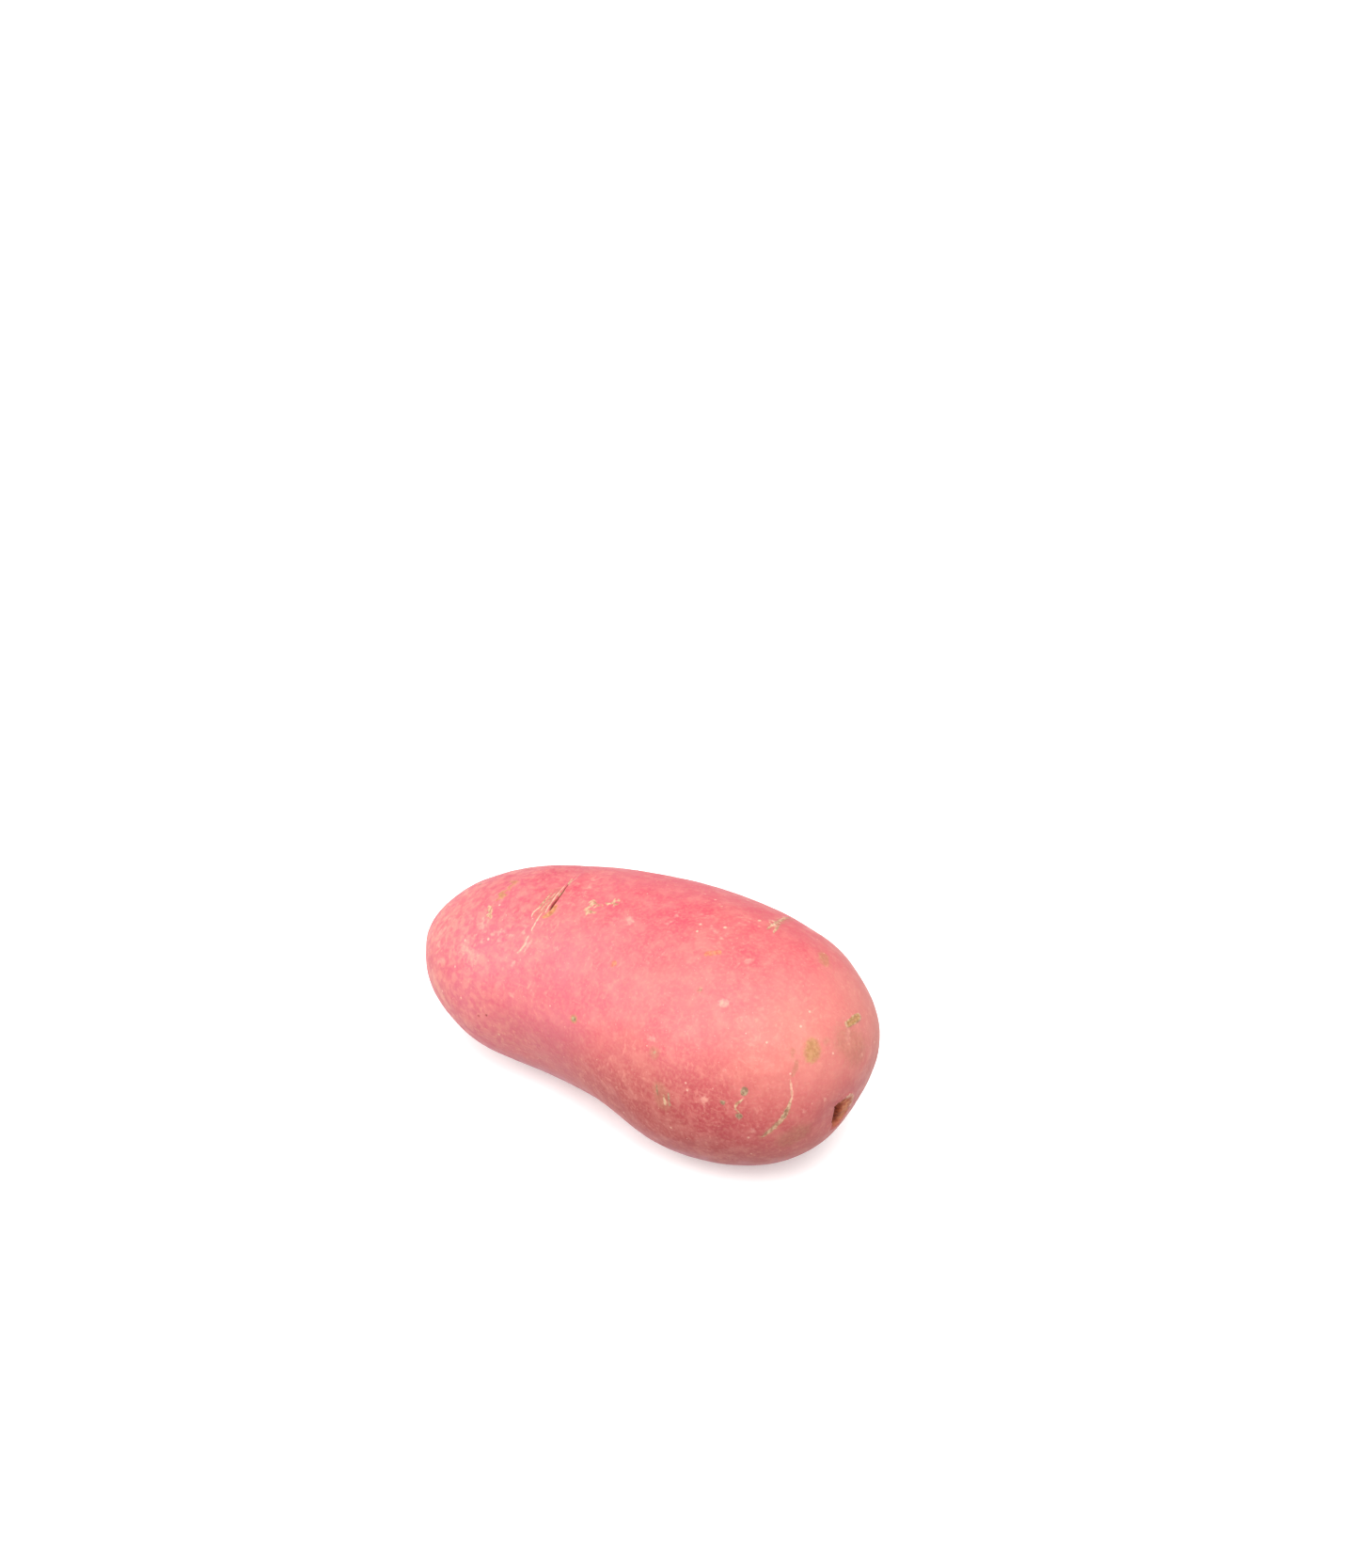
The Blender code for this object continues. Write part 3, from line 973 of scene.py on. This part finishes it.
@dataclass(frozen=True)
class RedPotatoSkin:
    """The skin of a washed red potato: a thin, dry layer of cork over pink cells.

    It was neither polished nor waxed, so it gives the eye a soft, wide sheen, a red that drifts
    from rose at the bud end to salmon at the heel, and many small pale pores, the lenticels.

    Attributes:
        rose: Skin colour at the bud end.
        salmon: Skin colour at the heel.
        blush_and_shade: Deep colour of the darker clouds, and of the far, high shoulder, which is partly
            its own deeper red and partly painted shade.
        pale: Colour of the lighter cells of its mottling.
        shaded_brick: Duller, darker colour of the lower sides, partly painted shade.
        pore: Colour of the lenticels.
        dust_and_bounce: Colour of the dry film of soil that washing leaves where it lay, which also
            stands for painted light bounced up from the paper.
        roughness: Typical roughness of dry potato skin.
    """

    rose: str = "B45867"
    salmon: str = "BA635D"
    blush_and_shade: str = "B8324A"
    pale: str = "CC8878"
    shaded_brick: str = "8C3634"
    pore: str = "D6AF9A"
    dust_and_bounce: str = "BE8890"
    roughness: float = 0.58

    def build(self) -> bpy.types.Material:
        """Make the material.

        Returns:
            The material, ready for the skin.
        """
        skin = bpy.data.materials.new(SLOT)
        skin.use_nodes = True
        tree = skin.node_tree
        spot = add_node(tree, "ShaderNodeTexCoord").outputs["Object"]
        # From here on the coordinates count millimetres, so pattern sizes are real ones.
        spot = add_node(
            tree, "ShaderNodeVectorMath", {0: spot, 1: (1000.0, 1000.0, 1000.0)}, operation="MULTIPLY"
        ).outputs[0]
        along, across, height = add_node(tree, "ShaderNodeSeparateXYZ", {0: spot}).outputs
        color, relief, gloss = self.bare_skin(tree, spot, along, across, height)
        color = self.stained(tree, spot, color, relief, gloss)

        bump = add_node(
            tree,
            "ShaderNodeBump",
            {"Strength": 1.0, "Distance": MM, "Height": self.total(tree, 0.0, relief)},
        )
        shader = tree.nodes["Principled BSDF"]
        tree.links.new(color, shader.inputs["Base Color"])
        tree.links.new(self.total(tree, self.roughness - 0.03, gloss), shader.inputs["Roughness"])
        tree.links.new(bump.outputs[0], shader.inputs["Normal"])
        shader.inputs["IOR"].default_value = 1.40
        shader.inputs["Specular IOR Level"].default_value = 0.30
        shader.inputs["Subsurface Weight"].default_value = 0.08
        shader.inputs["Subsurface Radius"].default_value = (1.0, 0.35, 0.25)
        shader.inputs["Subsurface Scale"].default_value = 1.2 * MM
        shader.inputs["Sheen Weight"].default_value = 0.05
        shader.inputs["Sheen Roughness"].default_value = 0.45
        shader.inputs["Sheen Tint"].default_value = linear_color("F0D4D2")
        return skin

    def bare_skin(
        self,
        tree: Tree,
        spot: Socket,
        along: Socket,
        across: Socket,
        height: Socket,
    ) -> tuple[Socket, list, list]:
        """Draw the skin where nothing has marked it.

        Args:
            tree: The material's nodes.
            spot: The place on the skin, in millimetres.
            along: Its share along the tuber.
            across: Its share across the tuber.
            height: Its height above the floor.

        Returns:
            The colour, and the weighted parts of the relief in millimetres and of the roughness.
        """
        heelward = self.ramp(tree, along, -42.0, 40.0)
        budward = self.ramp(tree, along, 0.0, -44.0)
        drift = self.blotches(tree, spot, 26.0, 0.30, 0.70)
        hue = self.total(tree, 0.0, [(heelward, 0.62), (drift, 0.38)])
        clouds = self.blotches(tree, spot, 9.0, 0.42, 0.70, detail=3.0)
        mottling = self.blotches(tree, spot, 3.2, 0.42, 0.72, detail=4.0)
        bud_mottling = self.blotches(tree, spot, 1.9, 0.44, 0.66, detail=3.0)
        grain = self.blotches(tree, spot, 0.7, 0.34, 0.66, detail=3.0)
        # The flecks stand across the tuber, as the skin's first tears do.
        squeezed = self.stretched(tree, spot, (1.7, 1.0, 1.0))
        flecks = self.blotches(tree, squeezed, 1.5, 0.56, 0.72, detail=3.0)
        fleck_patches = self.total(
            tree, 0.15, [(self.blotches(tree, spot, 12.0, 0.40, 0.66), 0.40), (budward, 0.45)]
        )
        specks = self.pores(tree, spot, 1.05, 0.16, 0.75)
        lenticels = self.pores(tree, spot, 3.4, 0.36, 0.60)
        drawn_out = self.stretched(tree, spot, (0.22, 1.0, 1.0))
        lines = self.blotches(tree, drawn_out, 0.75, 0.56, 0.74, detail=3.0)
        line_patches = self.blotches(tree, spot, 11.0, 0.45, 0.65)
        # Painted shade, partly the skin's own deeper red: the far, high shoulder darkens.
        far_and_high = self.total(tree, 0.0, [(across, 0.62), (height, 1.0), (along, -0.10)])
        shoulder = self.ramp(tree, far_and_high, 30.0, 58.0)
        shoulder = self.product(tree, shoulder, self.total(tree, 0.55, [(clouds, 0.45)]))
        # Painted shade, partly a duller brown underside: it shows most along the middle, as both ends
        # turn up into the light.
        below = self.ramp(tree, self.total(tree, 0.0, [(height, 1.0), (along, -0.30)]), 36.0, 12.0)
        off_bud = self.ramp(tree, along, -30.0, 12.0)
        off_heel = self.total(tree, 0.35, [(self.ramp(tree, along, 56.0, 34.0), 0.65)])
        shaded_low_band = self.product(tree, self.product(tree, below, off_bud), off_heel)
        heel_tip = self.ramp(tree, along, 30.0, 50.0)
        heel_tip = self.product(tree, heel_tip, self.ramp(tree, height, 22.0, 34.0))
        # Dust, and painted light bounced up from the paper, lighten the skin near the floor.
        dust_and_bounce_side = self.ramp(tree, height, 15.0, 5.0)
        dirt = self.total(tree, 0.25, [(self.blotches(tree, spot, 5.0, 0.30, 0.70, detail=5.0), 0.75)])

        base = add_node(
            tree,
            "ShaderNodeMix",
            {0: hue, 6: linear_color(self.rose), 7: linear_color(self.salmon)},
            data_type="RGBA",
        ).outputs[2]
        color = self.painted(
            tree,
            base,
            [
                (shoulder, self.blush_and_shade, 0.86),
                (clouds, self.blush_and_shade, 0.22),
                (shaded_low_band, self.shaded_brick, 0.94),
                (heel_tip, self.pale, 0.34),
                (mottling, self.pale, 0.24),
                (self.product(tree, bud_mottling, budward), self.pale, 0.50),
                (grain, self.pale, 0.14),
                (self.product(tree, flecks, fleck_patches), self.pale, 0.75),
                (self.product(tree, lines, line_patches), self.pale, 0.35),
                (specks, self.pore, 0.30),
                (lenticels, self.pore, 0.62),
                (self.product(tree, dust_and_bounce_side, dirt), self.dust_and_bounce, 0.90),
            ],
        )
        relief = [
            (grain, 0.012),
            (self.blotches(tree, spot, 2.2, 0.3, 0.7, detail=3.0), 0.030),
            (flecks, 0.012),
            (specks, 0.008),
            (lenticels, 0.030),
            (lines, 0.010),
        ]
        gloss = [(grain, 0.06), (mottling, -0.05), (lenticels, 0.10), (dust_and_bounce_side, 0.12)]
        return color, relief, gloss

    def stained(
        self,
        tree: Tree,
        spot: Socket,
        color: Socket,
        relief: list,
        gloss: list,
    ) -> Socket:
        """Lay every kind of blemish over the skin.

        Args:
            tree: The material's nodes.
            spot: The place on the skin, in millimetres.
            color: The skin's own colour.
            relief: The parts of the relief, which get the crusts' share.
            gloss: The parts of the roughness, which get the crusts' share.

        Returns:
            The colour with its blemishes.
        """
        tint = self.blotches(tree, spot, 0.8, 0.32, 0.68, detail=2.0)
        ragged = self.blotches(tree, spot, 0.7, 0.28, 0.72, detail=3.0)
        for stain, look in STAIN_LOOKS.items():
            mask = self.stain_mask(tree, stain, look, ragged)
            hue = add_node(
                tree,
                "ShaderNodeMix",
                {0: tint, 6: linear_color(look.dark), 7: linear_color(look.light)},
                data_type="RGBA",
            ).outputs[2]
            cover = self.total(tree, 0.0, [(mask, look.cover)])
            color = add_node(
                tree, "ShaderNodeMix", {0: cover, 6: color, 7: hue}, data_type="RGBA"
            ).outputs[2]
            relief.append((self.product(tree, mask, tint), look.crust / MM))
            gloss.append((mask, look.rough))
        return color

    def ramp(
        self, tree: Tree, value: Socket, low: float, high: float
    ) -> Socket:
        """Ease a value from 0 at low to 1 at high."""
        return add_node(
            tree,
            "ShaderNodeMapRange",
            {"Value": value, "From Min": low, "From Max": high},
            interpolation_type="SMOOTHSTEP",
        ).outputs[0]

    def blotches(
        self,
        tree: Tree,
        spot: Socket,
        size: float,
        low: float,
        high: float,
        detail: float = 2.0,
    ) -> Socket:
        """Draw soft, irregular patches.

        Args:
            tree: The material's nodes.
            spot: The place on the skin, in millimetres.
            size: How far apart the patches are, in millimetres.
            low: Strength of the noise where a patch begins.
            high: Strength of the noise where a patch is full.
            detail: How many finer layers the noise has.

        Returns:
            0 between the patches and 1 in them.
        """
        cloud = add_node(
            tree, "ShaderNodeTexNoise", {"Vector": spot, "Scale": 1.0 / size, "Detail": detail}
        )
        return self.ramp(tree, cloud.outputs[0], low, high)

    def pores(
        self,
        tree: Tree,
        spot: Socket,
        spacing: float,
        radius: float,
        share: float,
    ) -> Socket:
        """Scatter small round pores of uneven size.

        Args:
            tree: The material's nodes.
            spot: The place on the skin, in millimetres.
            spacing: How far apart the pores are, in millimetres.
            radius: Radius of the largest pore, in millimetres.
            share: How many of the places hold a pore.

        Returns:
            1 in a pore and 0 between them.
        """
        cells = add_node(tree, "ShaderNodeTexVoronoi", {"Vector": spot, "Scale": 1.0 / spacing})
        chance = add_node(tree, "ShaderNodeSeparateColor", {0: cells.outputs["Color"]}).outputs
        held = add_node(tree, "ShaderNodeMath", {0: chance[0], 1: share}, operation="LESS_THAN")
        size = add_node(
            tree,
            "ShaderNodeMath",
            {0: chance[1], 1: 0.6 * radius / spacing, 2: 0.4 * radius / spacing},
            operation="MULTIPLY_ADD",
        )
        reach = add_node(
            tree,
            "ShaderNodeMath",
            {0: cells.outputs["Distance"], 1: size.outputs[0]},
            operation="DIVIDE",
        )
        disc = self.ramp(tree, reach.outputs[0], 1.15, 0.55)
        return self.product(tree, disc, held.outputs[0])

    def stretched(
        self, tree: Tree, spot: Socket, scale: tuple[float, float, float]
    ) -> Socket:
        """Stretch or squeeze a pattern along the tuber's axes."""
        return add_node(tree, "ShaderNodeMapping", {"Vector": spot, "Scale": scale}).outputs[0]

    def product(
        self, tree: Tree, first: Socket, second: Socket
    ) -> Socket:
        """Multiply two values."""
        return add_node(tree, "ShaderNodeMath", {0: first, 1: second}, operation="MULTIPLY").outputs[0]

    def stain_mask(
        self,
        tree: Tree,
        stain: Stain,
        look: StainLook,
        ragged: Socket,
    ) -> Socket:
        """Cut a stain's smooth strength to a ragged patch.

        Args:
            tree: The material's nodes.
            stain: The kind of blemish.
            look: How it shows.
            ragged: Noise from 0 to 1 that breaks up the edge.

        Returns:
            1 in the stain and 0 outside it.
        """
        strength = add_node(tree, "ShaderNodeAttribute", attribute_name=stain.value).outputs["Fac"]
        broken = self.total(tree, -0.5 * look.ragged, [(strength, 1.0), (ragged, look.ragged)])
        return self.ramp(tree, broken, 0.5 - look.soft, 0.5 + look.soft)

    def total(
        self,
        tree: Tree,
        start: float,
        parts: Iterable[tuple[Socket, float]],
    ) -> Socket:
        """Add up values, each times its own weight.

        Args:
            tree: The material's nodes.
            start: What the sum starts from.
            parts: Each value with its weight; a weight of 0 leaves the value out.

        Returns:
            The sum.
        """
        result: Socket | float = start
        for value, weight in parts:
            if weight:
                result = add_node(
                    tree, "ShaderNodeMath", {0: value, 1: weight, 2: result}, operation="MULTIPLY_ADD"
                ).outputs[0]
        return result

    def painted(
        self,
        tree: Tree,
        color: Socket,
        veils: Iterable[tuple[Socket, str, float]],
    ) -> Socket:
        """Lay thin colours over each other.

        Args:
            tree: The material's nodes.
            color: The colour underneath.
            veils: For each layer its pattern, its colour and how much it covers at most.

        Returns:
            The colour on top.
        """
        for pattern, code, cover in veils:
            factor = add_node(tree, "ShaderNodeMath", {0: pattern, 1: cover}, operation="MULTIPLY")
            color = add_node(
                tree,
                "ShaderNodeMix",
                {0: factor.outputs[0], 6: color, 7: linear_color(code)},
                data_type="RGBA",
            ).outputs[2]
        return color


@dataclass(frozen=True)
class SweepPaper:
    """A studio's matt white background paper, which lies on a lit table.

    The table's light comes through it a little, so that shadows on it stay pale.

    Attributes:
        color: Colour of the paper.
        roughness: Typical roughness of uncoated paper.
        fibre: Size of its fibre bundles, in millimetres.
        glow: Strength of the light that comes through it.
    """

    color: str = "F2F1F0"
    roughness: float = 0.9
    fibre: float = 0.6
    glow: float = 0.22

    def build(self) -> bpy.types.Material:
        """Make the material.

        Returns:
            The material, ready for the floor.
        """
        paper = bpy.data.materials.new("white_sweep_paper")
        paper.use_nodes = True
        tree = paper.node_tree
        spot = add_node(tree, "ShaderNodeTexCoord").outputs["Object"]
        fibres = add_node(
            tree, "ShaderNodeTexNoise", {"Vector": spot, "Scale": 1.0 / (self.fibre * MM)}
        )
        bump = add_node(
            tree, "ShaderNodeBump", {"Distance": 0.01 * MM, "Height": fibres.outputs[0]}
        )
        shader = tree.nodes["Principled BSDF"]
        shader.inputs["Base Color"].default_value = linear_color(self.color)
        shader.inputs["Roughness"].default_value = self.roughness
        shader.inputs["Specular IOR Level"].default_value = 0.2
        shader.inputs["Emission Color"].default_value = linear_color(self.color)
        shader.inputs["Emission Strength"].default_value = self.glow
        tree.links.new(bump.outputs[0], shader.inputs["Normal"])
        return paper


@dataclass
class Studio:
    """A pale floor, soft light from above and the camera.

    Attributes:
        azimuth: How far the camera stands round from -Y towards +X, in degrees.
        elevation: How high it is, in degrees.
        lens: Its focal length, in millimetres.
        distance: How far it is from the tuber's middle, in metres.
        aside: How far it is moved to its right, in metres.
        above: How far it is moved up across its view, in metres.
        light_distance: How far the soft boxes are from the floor's middle, in metres.
        light_size: Width of a soft box, in metres.
        key_place: Azimuth and elevation of the main light, in degrees.
        key_power: Its power, in watts.
        fill_place: Azimuth and elevation of the weaker light, in degrees.
        fill_power: Its power, in watts.
        walls: Brightness of the room near the floor.
        ceiling: Brightness of the room higher up.
        paper_bounce: Share of that light that comes up from the paper.
        floor_size: Width of the paper, in metres.
    """

    azimuth: float = 36.0
    elevation: float = 32.0
    lens: float = 100.0
    distance: float = 0.9215
    aside: float = 0.0070
    above: float = 0.0443
    light_distance: float = 2.5
    light_size: float = 2.2
    key_place: tuple[float, float] = (42.0, 58.0)
    key_power: float = 95.0
    fill_place: tuple[float, float] = (-32.0, 24.0)
    fill_power: float = 44.0
    walls: float = 1.1
    ceiling: float = 0.85
    paper_bounce: float = 0.58
    floor_size: float = 30.0

    def build(self) -> None:
        """Set up the floor, the lights and the camera."""
        self.lay_floor()
        self.hang_lights()
        self.place_camera()

    def lay_floor(self) -> None:
        """Lay a wide sheet of white paper."""
        bpy.ops.object.select_all(action="DESELECT")
        bpy.ops.mesh.primitive_plane_add(size=self.floor_size)
        floor = bpy.context.object
        floor.name = "studio_floor"
        floor.data.materials.append(SweepPaper().build())
        # The paper is lit far past white, so the world stands in for its bounce on the tuber.
        floor.visible_diffuse = False

    def hang_soft_box(self, name: str, place: tuple[float, float], power: float) -> None:
        """Hang a big soft box.

        Args:
            name: Its name.
            place: The azimuth and the elevation that it shines from, in degrees.
            power: Its power in watts.
        """
        towards = direction(*place)
        bpy.ops.object.light_add(type="AREA", location=towards * self.light_distance)
        box = bpy.context.object
        box.name = name
        box.rotation_euler = towards.to_track_quat("Z", "Y").to_euler()
        box.data.size = self.light_size
        box.data.energy = power

    def hang_lights(self) -> None:
        """Hang a soft box on either side of the camera, and make the room's walls white."""
        self.hang_soft_box("key_soft_box", self.key_place, self.key_power)
        self.hang_soft_box("fill_soft_box", self.fill_place, self.fill_power)
        world = bpy.data.worlds.new("white_room")
        world.use_nodes = True
        tree = world.node_tree
        spot = add_node(tree, "ShaderNodeTexCoord").outputs["Generated"]
        height = add_node(tree, "ShaderNodeSeparateXYZ", {0: spot}).outputs["Z"]
        # Walls are white where they meet the floor, and the light falls off towards the ceiling.
        glow = add_node(
            tree,
            "ShaderNodeMapRange",
            {"Value": height, "From Max": 0.30, "To Min": self.walls, "To Max": self.ceiling},
            interpolation_type="SMOOTHSTEP",
        )
        # The paper bounces this share of that light.
        bounce = add_node(
            tree,
            "ShaderNodeMapRange",
            {"Value": height, "From Min": -0.04, "From Max": 0.0, "To Min": self.paper_bounce},
        )
        glow = add_node(
            tree, "ShaderNodeMath", {0: glow.outputs[0], 1: bounce.outputs[0]}, operation="MULTIPLY"
        )
        background = tree.nodes["Background"]
        background.inputs["Color"].default_value = (1.0, 1.0, 1.0, 1.0)
        tree.links.new(glow.outputs[0], background.inputs["Strength"])
        bpy.context.scene.world = world
        bpy.context.scene.view_settings.view_transform = "Standard"

    def place_camera(self) -> None:
        """Place the camera."""
        back = direction(self.azimuth, self.elevation)
        turn = math.radians(self.azimuth)
        right = Vector((math.cos(turn), math.sin(turn), 0.0))
        low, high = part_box(NODE)
        spot = (low + high) / 2 + back * self.distance + right * self.aside
        spot += back.cross(right) * self.above
        bpy.ops.object.camera_add(location=spot)
        camera = bpy.context.object
        camera.name = "studio_camera"
        camera.rotation_euler = back.to_track_quat("Z", "Y").to_euler()
        camera.data.lens = self.lens
        bpy.context.scene.camera = camera


def main() -> None:
    """Build the potato and its studio."""
    logging.basicConfig(level=logging.INFO, format="%(name)s: %(message)s")
    skin = TuberSkin().build()
    skin.data.materials.clear()
    skin.data.materials.append(RedPotatoSkin().build())
    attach(skin, "root")
    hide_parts(NODE)
    log.info("%s: %d faces", skin.name, len(skin.data.polygons))
    Studio().build()


if __name__ == "__main__":
    main()
